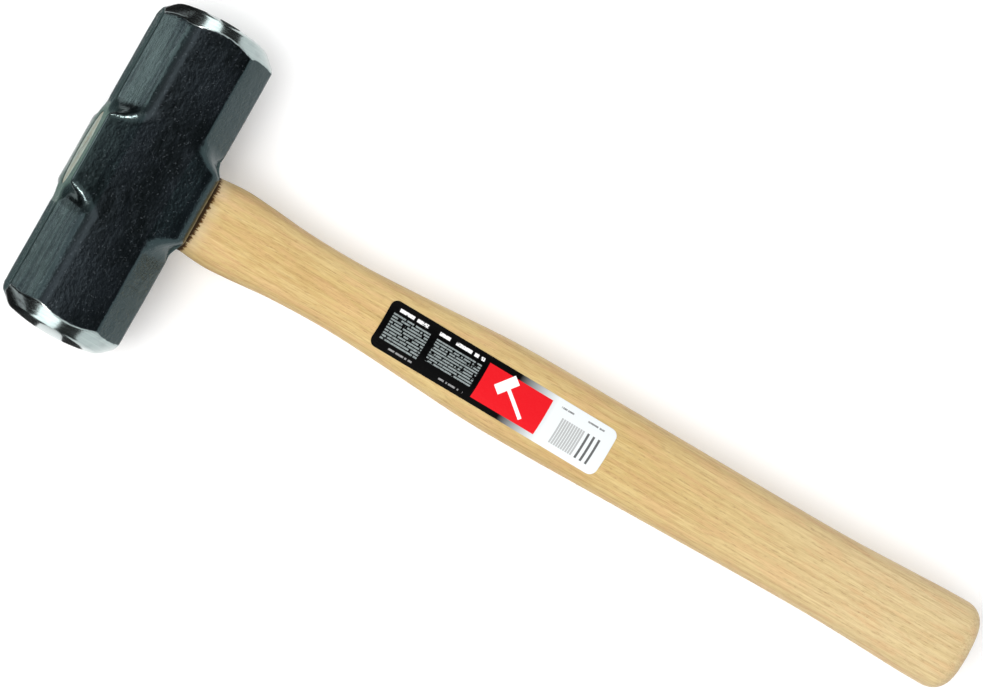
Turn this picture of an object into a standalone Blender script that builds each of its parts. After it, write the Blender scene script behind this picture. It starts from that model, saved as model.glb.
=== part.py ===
"""Short-handled sledgehammer: an octagonal forged head on a hickory handle.

The hammer lies on the lower cheek of its head. +X runs along the handle from
the head to the butt, +Y along the head from one striking face to the other,
and +Z out of the upper cheek. The origin is on the lower cheek, under the
middle of the eye. Lengths are in millimetres until a mesh is made.
"""

import math

import bmesh
import bpy

MM = 0.001
GAP = 0.3  # left between pieces that touch

# Head: a square bar with chamfered corners, a plain square block round the eye
# and a turned bevel at each striking face.
HEAD_LENGTH = 134.5
HEAD_WIDTH = 46.5
HALF = HEAD_WIDTH / 2
AXIS_Z = HALF  # height of the handle's and the eye's axis over the lower cheek
CHAMFER_LEG = 11.3
SCOOP_RADIUS = 8.0  # where a chamfer runs out into the eye block
SCOOP_FROM = 24.0  # distance along the head at which the chamfer is full
SCOOP_LEAN = 0.1  # a scoop starts farther out toward a cheek than toward a side

# Each boss round the eye stands proud of its side: height, half length of its
# flat part, half length of its foot, and the radius of the block's long edges.
TOP_BOSS = {"height": 0.6, "flat": 16.5, "foot": 22.0, "edge": 1.2}
UNDER_BOSS = {"height": 1.8, "flat": 13.0, "foot": 20.5, "edge": 3.0}

# Striking face: a crown, a rounded lip and a cone through the chamfer corners.
CROWN_RADIUS = 78.0
LIP_RADIUS = 6.5
BEVEL_ANGLE = math.radians(43)
BEVEL_DEPTH = 9.2  # of the bevel's edge at a corner between cheek and chamfer
TURNED_RADIUS = 36.0  # clear of the square block's corners

# Eye: an oval hole along X, narrowest near the middle of the head.
EYE_WAIST_X = 3.0
EYE_HALF_LONG = 14.25
EYE_HALF_SHORT = 9.75
EYE_FLARE = 0.0016  # added to both, times the square of the distance from the waist

# Handle. Its tenon fills the eye and ends in a small shoulder below the head.
TOP_SUNK = 0.2  # how far the handle's sawn end lies below the top boss
HANDLE_TOP = -HALF - TOP_BOSS["height"] + TOP_SUNK
SHOULDER = HALF + UNDER_BOSS["height"] + GAP
HANDLE_END = 376.2
END_ROUND = 8.5
END_DOME = 2.0
GRIP_POWER = 2.35  # of the superellipse that each section follows
# Distance from the eye's axis, width along Y and thickness along Z.
HANDLE_STATIONS = (
    (SHOULDER, 31.0, 22.6),
    (38.0, 33.0, 24.0),
    (50.0, 31.6, 23.4),
    (66.0, 28.9, 22.2),
    (88.0, 27.8, 21.4),
    (109.0, 29.5, 22.4),
    (133.0, 32.7, 24.2),
    (155.0, 35.4, 25.6),
    (178.0, 35.9, 26.2),
    (225.0, 35.1, 26.2),
    (280.0, 34.0, 25.8),
    (312.0, 34.0, 25.8),
    (336.0, 35.5, 26.8),
    (356.0, 37.0, 27.6),
    (HANDLE_END, 37.2, 27.8),
)

# Wooden wedge, driven along the eye's long axis into a saw kerf.
KERF_END = 9.0
WOOD_WEDGE_TOP = 5.0
WOOD_WEDGE_TIP = 1.2
WOOD_WEDGE_TIP_X = 8.0

# Steel wedge with barbed faces, driven askew across the wooden one.
STEEL_WIDTH = 16.0
STEEL_TOP = 3.0
STEEL_TIP = 1.0
STEEL_DEPTH = 20.0
STEEL_BARB = 0.35
STEEL_BARBS = 3
STEEL_ANGLE = math.radians(35)  # from Z towards +Y

# Label on the upper face of the handle.
LABEL_START = 105.3
LABEL_LENGTH = 101.1
LABEL_WIDTH = 19.5
LABEL_CORNER = 3.0
LABEL_SHIFT = -2.0  # of its middle along Y
LABEL_SLANT = math.radians(-1.1)
LABEL_THICKNESS = 0.2

# Reach of the cutters, each clear of the solid that it cuts.
PAST_SOLID = 5.0
CHAMFER_OUTSIDE = 42.0
CHAMFER_HALF_WIDTH = 14.0
KERF_HALF_WIDTH = 20.0

ROUND_POINTS = 40  # round each handle section
EYE_POINTS = 44
TURNED_POINTS = 60


# ---------------------------------------------------------------- mesh helpers


def make_material(name, colour, roughness, metallic=0.0):
    material = bpy.data.materials.new(name)
    material.use_nodes = True
    shader = material.node_tree.nodes["Principled BSDF"]
    shader.inputs["Base Color"].default_value = (*colour, 1.0)
    shader.inputs["Roughness"].default_value = roughness
    shader.inputs["Metallic"].default_value = metallic
    material.diffuse_color = (*colour, 1.0)
    return material


def finish_mesh(name, mesh_builder, material=None):
    """Turn a bmesh in millimetres into an object in metres, faces pointing out."""
    bmesh.ops.recalc_face_normals(mesh_builder, faces=mesh_builder.faces)
    bmesh.ops.scale(mesh_builder, vec=(MM, MM, MM), verts=mesh_builder.verts)
    mesh = bpy.data.meshes.new(name)
    mesh_builder.to_mesh(mesh)
    mesh_builder.free()
    if material is not None:
        mesh.materials.append(material)
    item = bpy.data.objects.new(name, mesh)
    bpy.context.scene.collection.objects.link(item)
    return item


def loft(rings):
    """A closed bmesh through rings of equally many points, capped at both ends."""
    builder = bmesh.new()
    loops = [[builder.verts.new(point) for point in ring] for ring in rings]
    for near, far in zip(loops, loops[1:]):
        count = len(near)
        for i in range(count):
            j = (i + 1) % count
            builder.faces.new((near[i], near[j], far[j], far[i]))
    builder.faces.new(loops[0])
    builder.faces.new(loops[-1])
    return builder


def add_prism(builder, outline, place, low, high):
    """Extrude an outline of (u, v) from low to high; place(u, v, w) gives the point."""
    near = [builder.verts.new(place(u, v, low)) for u, v in outline]
    far = [builder.verts.new(place(u, v, high)) for u, v in outline]
    count = len(outline)
    for i in range(count):
        j = (i + 1) % count
        builder.faces.new((near[i], near[j], far[j], far[i]))
    builder.faces.new(near)
    builder.faces.new(far)


def cut(target, cutter, operation="DIFFERENCE"):
    """Add a Boolean and keep its cutter out of the model."""
    modifier = target.modifiers.new(operation.title() + " " + cutter.name, "BOOLEAN")
    modifier.operation = operation
    modifier.object = cutter
    cutter.hide_render = True
    cutter.display_type = "WIRE"


def shade_round(item, angle_degrees):
    item.data.shade_smooth()
    item.data.set_sharp_from_angle(angle=math.radians(angle_degrees))


def arc(centre_u, centre_v, radius, start, end, steps):
    """Points on an arc, angles in radians, both ends included."""
    return [
        (
            centre_u + radius * math.cos(start + (end - start) * i / steps),
            centre_v + radius * math.sin(start + (end - start) * i / steps),
        )
        for i in range(steps + 1)
    ]


# ---------------------------------------------------------------------- head


def boss_height(boss, y):
    """Height of a boss over its side at y: flat, then a smooth fall to its foot."""
    fall = (abs(y) - boss["flat"]) / (boss["foot"] - boss["flat"])
    fall = min(max(fall, 0.0), 1.0)
    return boss["height"] * (1.0 - fall * fall * (3.0 - 2.0 * fall))


def head_section(y):
    """Rounded rectangle round the head at y, as points in space."""
    top = -HALF - boss_height(TOP_BOSS, y)
    under = HALF + boss_height(UNDER_BOSS, y)
    quarter = math.pi / 2
    edge_top, edge_under = TOP_BOSS["edge"], UNDER_BOSS["edge"]
    outline = (
        arc(under - edge_under, HALF - edge_under, edge_under, 0, quarter, 4)
        + arc(top + edge_top, HALF - edge_top, edge_top, quarter, 2 * quarter, 3)
        + arc(top + edge_top, edge_top - HALF, edge_top, 2 * quarter, 3 * quarter, 3)
        + arc(under - edge_under, edge_under - HALF, edge_under, 3 * quarter, 4 * quarter, 4)
    )
    return [(x, y, AXIS_Z + z) for x, z in outline]


def face_profile():
    """(radius, depth) pairs from the crown's middle over the lip and down the bevel."""
    corner_radius = math.hypot(HALF, HALF - CHAMFER_LEG)
    reach = corner_radius * math.sin(BEVEL_ANGLE) - BEVEL_DEPTH * math.cos(BEVEL_ANGLE)
    lean = (reach - LIP_RADIUS + CROWN_RADIUS * math.cos(BEVEL_ANGLE)) / (CROWN_RADIUS - LIP_RADIUS)
    lip_start = BEVEL_ANGLE - math.acos(lean)
    profile = []
    for step in range(1, 6):
        angle = lip_start * step / 5
        profile.append((CROWN_RADIUS * math.sin(angle), CROWN_RADIUS * (1 - math.cos(angle))))
    centre_radius = (CROWN_RADIUS - LIP_RADIUS) * math.sin(lip_start)
    centre_depth = CROWN_RADIUS - (CROWN_RADIUS - LIP_RADIUS) * math.cos(lip_start)
    for step in range(1, 5):
        angle = lip_start + (BEVEL_ANGLE - lip_start) * step / 4
        profile.append(
            (centre_radius + LIP_RADIUS * math.sin(angle), centre_depth - LIP_RADIUS * math.cos(angle))
        )
    lip_radius, lip_depth = profile[-1]
    profile.append((TURNED_RADIUS, lip_depth + (TURNED_RADIUS - lip_radius) * math.tan(BEVEL_ANGLE)))
    return profile


def turned_body():
    """The solid that both turned ends lie on, along Y."""
    half_profile = face_profile()
    stations = [(radius, HEAD_LENGTH / 2 - depth) for radius, depth in half_profile]
    stations += [(radius, -y) for radius, y in reversed(stations)]
    rings = []
    for radius, y in stations:
        turns = [2 * math.pi * i / TURNED_POINTS for i in range(TURNED_POINTS)]
        rings.append([(radius * math.cos(t), y, AXIS_Z + radius * math.sin(t)) for t in turns])
    return finish_mesh("turned_body_guide", loft(rings))


def chamfer_cutter():
    """Eight prisms that chamfer the corners and run out in a scoop by the eye."""
    plane = (HEAD_WIDTH - CHAMFER_LEG) / math.sqrt(2)  # distance of a chamfer from the axis
    past_end = HEAD_LENGTH / 2 + PAST_SOLID
    scoop = arc(SCOOP_FROM, plane + SCOOP_RADIUS, SCOOP_RADIUS, -math.pi / 2, -math.pi, 8)
    outline = [(past_end, plane)] + scoop
    outline += [(SCOOP_FROM - SCOOP_RADIUS, CHAMFER_OUTSIDE), (past_end, CHAMFER_OUTSIDE)]
    builder = bmesh.new()
    for end in (1, -1):
        for corner in range(4):
            diagonal = math.pi / 4 + corner * math.pi / 2
            out_x, out_z = math.cos(diagonal), math.sin(diagonal)

            def place(along, out, side):
                toward_cheek = math.copysign(side, side * out_x * out_z)
                leaning = along + SCOOP_LEAN * toward_cheek
                return (out * out_x - side * out_z, end * leaning, AXIS_Z + out * out_z + side * out_x)

            add_prism(builder, outline, place, -CHAMFER_HALF_WIDTH, CHAMFER_HALF_WIDTH)
    return finish_mesh("chamfer_cutter", builder)


def eye_half_axes(x, clearance=0.0):
    flare = EYE_FLARE * (x - EYE_WAIST_X) ** 2
    return EYE_HALF_LONG + flare - clearance, EYE_HALF_SHORT + flare - clearance


def oval(x, half_y, half_z, power, count):
    """A superellipse across X, as points in space."""
    points = []
    for i in range(count):
        turn = 2 * math.pi * i / count
        c, s = math.cos(turn), math.sin(turn)
        y = math.copysign(half_y * abs(c) ** (2 / power), c)
        z = math.copysign(half_z * abs(s) ** (2 / power), s)
        points.append((x, y, AXIS_Z + z))
    return points


def eye_solid(name, clearance, start, end):
    """The eye's own space between two distances along X, less a clearance."""
    steps = 8
    stations = [start + (end - start) * i / steps for i in range(steps + 1)]
    rings = [oval(x, *eye_half_axes(x, clearance), 2.0, EYE_POINTS) for x in stations]
    return finish_mesh(name, loft(rings))


def make_head():
    reach = HEAD_LENGTH / 2 + 2.0
    stations = {reach}
    for boss in (TOP_BOSS, UNDER_BOSS):
        steps = 6
        stations |= {boss["flat"] + (boss["foot"] - boss["flat"]) * i / steps for i in range(steps + 1)}
    stations = sorted(stations | {-y for y in stations})
    painted = make_material("head_paint", (0.016, 0.022, 0.026), 0.35, 0.2)
    head = finish_mesh("head", loft([head_section(y) for y in stations]), painted)
    cut(head, chamfer_cutter())
    cut(head, turned_body(), "INTERSECT")
    cut(head, eye_solid("eye_cutter", 0.0, -HALF - PAST_SOLID, HALF + PAST_SOLID))
    shade_round(head, 25)
    return head


# -------------------------------------------------------------------- handle


def handle_size(x):
    """Width and thickness at x, on a smooth curve through the stations."""
    stations = HANDLE_STATIONS
    last = len(stations) - 1
    index = max(i for i in range(last) if stations[i][0] <= x or i == 0)
    start, end = stations[index], stations[index + 1]
    before, after = stations[max(index - 1, 0)], stations[min(index + 2, last)]
    span = end[0] - start[0]
    t = (x - start[0]) / span
    size = []
    for axis in (1, 2):
        slope_start = (end[axis] - before[axis]) / (end[0] - before[0]) * span
        slope_end = (after[axis] - start[axis]) / (after[0] - start[0]) * span
        size.append(
            (2 * t**3 - 3 * t**2 + 1) * start[axis]
            + (t**3 - 2 * t**2 + t) * slope_start
            + (3 * t**2 - 2 * t**3) * end[axis]
            + (t**3 - t**2) * slope_end
        )
    return size


def handle_rings():
    """Sections of the tenon in the eye, then of the grip and its rounded butt."""
    rings = []
    tenon_steps = 8
    for i in range(tenon_steps + 1):
        x = HANDLE_TOP + (SHOULDER - HANDLE_TOP) * i / tenon_steps
        rings.append(oval(x, *eye_half_axes(x, GAP), 2.0, ROUND_POINTS))
    round_start = HANDLE_END - END_DOME - END_ROUND
    grip_steps = 32
    for i in range(grip_steps + 1):
        x = SHOULDER + (round_start - SHOULDER) * i / grip_steps
        width, thickness = handle_size(x)
        rings.append(oval(x, width / 2, thickness / 2, GRIP_POWER, ROUND_POINTS))
    corner_steps = 6
    for i in range(1, corner_steps + 1):
        turn = math.pi / 2 * i / corner_steps
        x = round_start + END_ROUND * math.sin(turn)
        width, thickness = handle_size(x)
        inset = END_ROUND * (1 - math.cos(turn))
        rings.append(oval(x, width / 2 - inset, thickness / 2 - inset, GRIP_POWER, ROUND_POINTS))
    width, thickness = handle_size(HANDLE_END - END_DOME)
    for share in (0.7, 0.35):
        x = HANDLE_END - END_DOME * share**2
        half_y, half_z = width / 2 - END_ROUND, thickness / 2 - END_ROUND
        rings.append(oval(x, half_y * share, half_z * share, GRIP_POWER, ROUND_POINTS))
    return rings


def wedge_outline(top_x, tip_x, top_half, tip_half):
    """A taper in (x, half thickness), from its wide top to its tip."""
    return [(top_x, -top_half), (tip_x, -tip_half), (tip_x, tip_half), (top_x, top_half)]


def wood_taper(x):
    """Half thickness of the wooden wedge at x."""
    share = (x - HANDLE_TOP) / (WOOD_WEDGE_TIP_X - HANDLE_TOP)
    return (WOOD_WEDGE_TOP + (WOOD_WEDGE_TIP - WOOD_WEDGE_TOP) * share) / 2


def steel_taper(x):
    """Half thickness of the steel wedge's envelope at x."""
    share = (x - HANDLE_TOP) / STEEL_DEPTH
    return (STEEL_TOP + (STEEL_TIP - STEEL_TOP) * share) / 2


def kerf_cutter():
    above = HANDLE_TOP - PAST_SOLID
    outline = wedge_outline(above, KERF_END, wood_taper(above) + GAP, wood_taper(KERF_END) + GAP)
    builder = bmesh.new()
    add_prism(builder, outline, lambda x, z, y: (x, y, AXIS_Z + z), -KERF_HALF_WIDTH, KERF_HALF_WIDTH)
    return finish_mesh("kerf_cutter", builder)


def place_steel(x, across, along):
    """A point of the steel wedge: across its thickness and along its width."""
    y = along * math.sin(STEEL_ANGLE) - across * math.cos(STEEL_ANGLE)
    z = along * math.cos(STEEL_ANGLE) + across * math.sin(STEEL_ANGLE)
    return (x, y, AXIS_Z + z)


def steel_slot_cutter():
    above, below = HANDLE_TOP - PAST_SOLID, HANDLE_TOP + STEEL_DEPTH + GAP
    outline = wedge_outline(above, below, steel_taper(above) + GAP, steel_taper(below) + GAP)
    builder = bmesh.new()
    reach = STEEL_WIDTH / 2 + GAP
    add_prism(builder, outline, place_steel, -reach, reach)
    return finish_mesh("steel_slot_cutter", builder)


def make_handle(kerf, slot):
    wood = make_material("handle_wood", (0.73, 0.51, 0.22), 0.42)
    handle = finish_mesh("handle", loft(handle_rings()), wood)
    cut(handle, kerf)
    cut(handle, slot)
    shade_round(handle, 35)
    return handle


# -------------------------------------------------------------------- wedges


def make_wood_wedge(slot):
    outline = wedge_outline(
        HANDLE_TOP, WOOD_WEDGE_TIP_X, wood_taper(HANDLE_TOP), wood_taper(WOOD_WEDGE_TIP_X)
    )
    builder = bmesh.new()
    add_prism(builder, outline, lambda x, z, y: (x, y, AXIS_Z + z), -KERF_HALF_WIDTH, KERF_HALF_WIDTH)
    wood = make_material("wedge_wood", (0.60, 0.38, 0.17), 0.6)
    wedge = finish_mesh("wood_wedge", builder, wood)
    limit = eye_solid("wedge_limit_guide", GAP, HANDLE_TOP - PAST_SOLID, WOOD_WEDGE_TIP_X + PAST_SOLID)
    cut(wedge, limit, "INTERSECT")
    cut(wedge, slot)
    return wedge


def make_steel_wedge():
    """Each face is a row of ramps that end in a small step, so the wedge grips."""
    near, far = [], []
    run = STEEL_DEPTH / (STEEL_BARBS + 1)
    for barb in range(STEEL_BARBS + 1):
        top = HANDLE_TOP + run * barb
        tip = top + run
        near += [(top, steel_taper(top)), (tip, steel_taper(tip) - STEEL_BARB / 2)]
        far += [(top, -steel_taper(top)), (tip, -steel_taper(tip) + STEEL_BARB / 2)]
    builder = bmesh.new()
    add_prism(builder, near + far[::-1], place_steel, -STEEL_WIDTH / 2, STEEL_WIDTH / 2)
    steel = make_material("wedge_steel", (0.55, 0.56, 0.57), 0.3, 1.0)
    return finish_mesh("steel_wedge", builder, steel)


# --------------------------------------------------------------------- label


def on_handle(x, y, lift):
    """The point over (x, y) at a height of lift off the handle's upper face."""
    width, thickness = handle_size(x)
    half_y, half_z = width / 2, thickness / 2
    share = min(abs(y) / half_y, 0.99)
    rise = (1 - share**GRIP_POWER) ** (1 / GRIP_POWER)
    z = half_z * rise
    slope = -math.copysign(half_z / half_y * (share / rise) ** (GRIP_POWER - 1), y)
    length = math.hypot(1.0, slope)
    return (x, y - lift * slope / length, AXIS_Z + z + lift / length)


def make_label():
    """A thin sheet with round corners, bent over the handle."""
    long_steps, cross_steps, corner_steps = 16, 8, 4
    straight = LABEL_LENGTH - 2 * LABEL_CORNER
    middle_x = LABEL_START + LABEL_LENGTH / 2
    turns = [math.pi / 2 * i / corner_steps for i in range(1, corner_steps + 1)]
    corner = [LABEL_CORNER * (1 - math.cos(turn)) for turn in turns]
    stations = corner + [LABEL_CORNER + straight * i / long_steps for i in range(1, long_steps)]
    stations += [LABEL_LENGTH - distance for distance in reversed(corner)]
    rings = []
    for along in stations:
        from_end = min(along, LABEL_LENGTH - along, LABEL_CORNER)
        inset = LABEL_CORNER - math.sqrt(LABEL_CORNER**2 - (LABEL_CORNER - from_end) ** 2)
        half_width = LABEL_WIDTH / 2 - inset
        ring = []
        for lift in (GAP, GAP + LABEL_THICKNESS):
            row = []
            for i in range(cross_steps + 1):
                across = half_width * (2 * i / cross_steps - 1)
                from_middle = along - LABEL_LENGTH / 2
                x = middle_x + from_middle * math.cos(LABEL_SLANT) - across * math.sin(LABEL_SLANT)
                y = LABEL_SHIFT + from_middle * math.sin(LABEL_SLANT) + across * math.cos(LABEL_SLANT)
                row.append(on_handle(x, y, lift))
            ring += row if lift == GAP else row[::-1]
        rings.append(ring)
    printed = make_material("label_print", (0.05, 0.05, 0.05), 0.3)
    label = finish_mesh("label", loft(rings), printed)
    shade_round(label, 30)
    return label


# --------------------------------------------------------------------- build


def build():
    for item in list(bpy.data.objects):
        bpy.data.objects.remove(item)
    kerf, slot = kerf_cutter(), steel_slot_cutter()
    make_head()
    make_handle(kerf, slot)
    make_wood_wedge(slot)
    make_steel_wedge()
    make_label()


build()
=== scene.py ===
"""Looks of the short-handled sledgehammer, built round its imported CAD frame.

Each visible piece is a new, finer mesh that stands for one CAD node: the
forged head, the hickory handle, its two wedges and the label. Lengths are in
millimetres, in the CAD's own axes, until a mesh is made: +X along the handle,
+Y along the head, +Z out of the upper cheek.
"""

import math

import bmesh
import bpy
import numpy as np
from mathutils import Matrix, Vector, noise


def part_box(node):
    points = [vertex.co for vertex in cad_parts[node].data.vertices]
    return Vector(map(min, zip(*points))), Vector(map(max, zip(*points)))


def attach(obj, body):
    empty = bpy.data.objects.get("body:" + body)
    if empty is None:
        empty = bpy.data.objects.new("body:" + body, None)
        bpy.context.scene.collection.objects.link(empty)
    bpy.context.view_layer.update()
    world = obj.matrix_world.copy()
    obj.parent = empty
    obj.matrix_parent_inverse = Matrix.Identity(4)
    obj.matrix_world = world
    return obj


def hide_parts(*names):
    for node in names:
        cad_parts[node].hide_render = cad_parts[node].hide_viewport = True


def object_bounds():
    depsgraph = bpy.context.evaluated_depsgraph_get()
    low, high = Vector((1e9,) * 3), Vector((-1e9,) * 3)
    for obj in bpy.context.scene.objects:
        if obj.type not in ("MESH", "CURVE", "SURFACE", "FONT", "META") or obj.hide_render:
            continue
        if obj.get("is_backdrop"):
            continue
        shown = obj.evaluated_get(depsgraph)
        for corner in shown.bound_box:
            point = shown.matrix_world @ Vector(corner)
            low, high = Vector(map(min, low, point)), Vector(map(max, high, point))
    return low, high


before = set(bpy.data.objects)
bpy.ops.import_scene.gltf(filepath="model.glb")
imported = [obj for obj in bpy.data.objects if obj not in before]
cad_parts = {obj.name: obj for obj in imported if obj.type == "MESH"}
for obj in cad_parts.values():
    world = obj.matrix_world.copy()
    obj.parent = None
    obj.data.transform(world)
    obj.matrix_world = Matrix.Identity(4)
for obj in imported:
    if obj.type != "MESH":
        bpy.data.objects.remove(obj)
CAD_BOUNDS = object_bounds()

MM = 0.001


def node_box(node):
    """Lowest and highest corner of a CAD node, in millimetres."""
    low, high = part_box(node)
    return low / MM, high / MM


HEAD_LOW, HEAD_HIGH = node_box("head")
HANDLE_LOW, HANDLE_HIGH = node_box("handle")
LABEL_LOW, LABEL_HIGH = node_box("label")

# Head: a square bar with chamfered corners, a square block round the eye and a
# turned bevel at each striking face.
HEAD_LENGTH = HEAD_HIGH.y - HEAD_LOW.y
HALF = (HEAD_HIGH.z - HEAD_LOW.z) / 2
AXIS_Z = HEAD_LOW.z + HALF
CHAMFER_LEG = 11.3
CHAMFER_CROWN = 0.0028  # how far a chamfer falls away per square millimetre from its middle
CHAMFER_EDGE = 0.6  # blend between a chamfer and a flat side
WORN_EDGE = 2.2  # the same between a cheek and the chamfers on the top side
CHEEK_CROWN = 0.0021  # how far a cheek falls away per square millimetre from its middle
BLOCK_CROWN = 0.0007  # the same on the square block
CROWN_FADE = 8.0  # length over which the block's crown turns into the bar's
WORN_FADE = 4.0
SCOOP_RADIUS = 8.0
SCOOP_FROM = 24.0
SCOOP_LEAN = 0.1
SCOOP_EDGE = 3.2  # blend along the rim of a scoop

# Relief of the painted surface: height, scale along each axis, and seed.
HEAD_WAVES = (0.16, (0.06, 0.045, 0.06), 3.0)
HEAD_LUMPS = (0.035, (0.28, 0.2, 0.28), 17.0)
HEAD_SCALE = (0.010, (0.9, 0.8, 0.9), 29.0)
HEAD_MARKS = (0.07, (0.62, 0.03, 0.62), 41.0)
MARKS_FROM = -4.0  # the marks lie from here toward -X
MARKS_FADE = 12.0
SCOOP_FADE = 6.0  # they end over this length beside the eye block

# Bosses round the eye: height, half length of the flat part and of the foot, and
# the blend along the block's long edges.
TOP_BOSS = {"height": -HEAD_LOW.x - HALF, "flat": 16.5, "foot": 22.0, "edge": 1.2}
UNDER_BOSS = {"height": HEAD_HIGH.x - HALF, "flat": 13.0, "foot": 20.5, "edge": 7.0}

# Striking face: a crown, a rounded lip and a cone through the chamfer corners.
CROWN_RADIUS = 78.0
LIP_BLEND = 0.9
BEVEL_ANGLE = math.radians(43)
BEVEL_DEPTH = 9.2
BEVEL_EDGE = 0.2
CORNER_RADIUS = math.hypot(HALF, HALF - CHAMFER_LEG)
CAP_DEPTH = 10.0  # where the rings along the body give way to the cap

# Eye, narrowest near the middle of the head.
EYE_WAIST_X = 3.0
EYE_HALF_LONG = 14.25
EYE_HALF_SHORT = 9.75
EYE_FLARE = 0.0016
EYE_MOUTH = 0.9  # radius round the rim of the eye
EYE_PAST = 2.0  # how far its cutter sticks out
TIGHT = 0.04  # left between driven pieces

# Handle.
HANDLE_TOP = HANDLE_LOW.x
HANDLE_END = HANDLE_HIGH.x
SHOULDER = HEAD_HIGH.x + TIGHT
END_ROUND = 8.5
END_DOME = 2.0
GRIP_POWER = 2.35
# Distance from the eye's axis, width along Y and thickness along Z.
HANDLE_STATIONS = (
    (SHOULDER, 31.0, 22.6),
    (38.0, 33.0, 24.0),
    (50.0, 31.6, 23.4),
    (66.0, 28.9, 22.2),
    (88.0, 27.8, 21.4),
    (109.0, 29.5, 22.4),
    (133.0, 32.7, 24.2),
    (155.0, 35.4, 25.6),
    (178.0, 35.9, 26.2),
    (225.0, 35.1, 26.2),
    (280.0, 34.0, 25.8),
    (312.0, 34.0, 25.8),
    (336.0, 35.5, 26.8),
    (356.0, 37.0, 27.6),
    (HANDLE_END, 37.2, 27.8),
)

# Relief of the grip, and the fibres crushed into a collar against the head.
GRIP_WAVES = (0.12, (0.016, 0.05, 0.05), 5.0)
GRIP_GRAIN = (0.025, (0.03, 0.9, 0.9), 11.0)
COLLAR_MIDDLE = 0.5  # past the shoulder
COLLAR_HALF = 1.3
COLLAR_HEIGHT = 0.28
COLLAR_FIBRES = 0.3

# Wedges in the top of the handle.
KERF_START = HANDLE_TOP - 3.0
KERF_END = 9.0
KERF_HALF_WIDTH = 20.0
WOOD_WEDGE_TOP = 5.0
WOOD_WEDGE_TIP = 1.2
WOOD_WEDGE_TIP_X = 8.0
STEEL_WIDTH = 16.0
STEEL_TOP = 3.0
STEEL_TIP = 1.0
STEEL_DEPTH = 20.0
STEEL_BARB = 0.35
STEEL_BARBS = 3
STEEL_ANGLE = math.radians(35)
STEEL_POWER = 9.0  # of the superellipse that rounds its section
STEEL_ROUND = 0.25  # how far its top edge is rounded in
STEEL_ROUND_DEPTH = 0.6
STEEL_DENT = 0.12  # mean depth of the hammer's dents in its top
STEEL_DENT_FADE = 0.8

# Label.
LABEL_LENGTH = 101.1
LABEL_WIDTH = 19.5
LABEL_CORNER = 3.0
LABEL_SLANT = math.radians(-1.1)
LABEL_THICKNESS = 0.12
LABEL_LIFT = 0.14  # off the handle
LABEL_X = (LABEL_LOW.x + LABEL_HIGH.x) / 2
LABEL_Y = (LABEL_LOW.y + LABEL_HIGH.y) / 2

# Surroundings, as brightness seen in a reflection.
FLOOR_RINGS = (400.0, 1500.0, 4000.0, 9000.0)
FLOOR_SIDES = 64
FLOOR_GLOW = 0.1
SKY_GLOW = 1.22
DIM_CENTRE = Vector((0.42, 0.05, 0.90))  # the dim patch that the upper cheek reflects
DIM_GLOW = 0.02
DIM_INNER = math.radians(15.5)
DIM_OUTER = math.radians(34)
DIM_TINT = (1.0, 0.97, 1.02)
SIDE_SHADE = 0.6  # how much darker the wall over -X is
STRIP_GLOW = 4.4  # a strip of light low over -X, which the chamfers reflect
STRIP_X = -600.0
STRIP_HEIGHT = 88.0
STRIP_FROM, STRIP_TO = -10.0, 260.0
CARD_GLOW = 3.2
CARD_DISTANCE = 60.0  # from a striking face
CARD_HEIGHT = 70.0
CARD_LIFT = 1.5  # of a card that lies over the floor
FLAG_BLACK = (0.03, 0.03, 0.03)
FLAG_GREY = (0.13, 0.19, 0.19)
FLAG_GREEN = (0.28, 0.41, 0.36)
FLAG_END = -110.0  # where along X the flags beside the top side end
FLAG_RETURN = 52.0  # how far a corner flag comes back toward the head
TOP_FLAG_X = -23.7
EYE_FLAG_X = -24.4
EYE_FLAG_SIDE = 22.0
NOTCH_FLAG_X = (17.0, 60.0)
NOTCH_FLAG_Y = (13.0, 45.0)
# Name, side of the head, and where along X its upright flags and the gap between
# them lie, then the same for the flags on the floor.
CARD_STRIPS = (
    ("a", 1, (-44.0, -23.0, -3.0, 27.0), (-40.0, -6.0, 0.0, 9.0)),
    ("b", -1, (-60.0, -31.0, 2.0, 36.0), (-40.0, -4.0, 8.0, 17.0)),
)

# Lights: name, place and size in metres, power, whether one lights surfaces or is
# only mirrored in them, and colour.
LIGHT_AIM = Vector((0.13, 0.0, 0.02))
WHITE = (1.0, 1.0, 1.0)
RIM_COLOUR = (1.0, 0.86, 0.82)
LIGHTS = (
    ("key", (-0.75, -0.5, 1.72), 1.2, 27.0, True, WHITE),
    ("rim_a", (-0.45, 1.2, 1.0), 0.32, 19.0, False, RIM_COLOUR),
    ("rim_b", (-0.45, -1.2, 1.0), 0.32, 19.0, False, RIM_COLOUR),
    ("edge", (-1.5, 0.0, 0.75), 0.7, 3.0, False, WHITE),
)

# Camera, on a line from the middle of the head.
CAMERA_DISTANCE = 1600.0
CAMERA_TILT_X = math.radians(6.6)
CAMERA_TILT_Y = math.radians(3.45)
CAMERA_AIM = Vector((149.1, 12.3, AXIS_Z))
CAMERA_ROLL = math.radians(29.2)
CAMERA_LENS = 155.97


# --------------------------------------------------------------- mesh helpers


def make_object(name, points, faces):
    """An object from points in millimetres."""
    mesh = bpy.data.meshes.new(name)
    mesh.from_pydata((np.asarray(points) * MM).tolist(), [], faces)
    mesh.validate()
    item = bpy.data.objects.new(name, mesh)
    bpy.context.scene.collection.objects.link(item)
    mesh.shade_smooth()
    return item


def tube_faces(rings, around):
    """Quads between rings of equally many points, numbered ring by ring."""
    faces = []
    for ring in range(rings - 1):
        near, far = ring * around, (ring + 1) * around
        for i in range(around):
            j = (i + 1) % around
            faces.append((near + i, near + j, far + j, far + i))
    return faces


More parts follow.
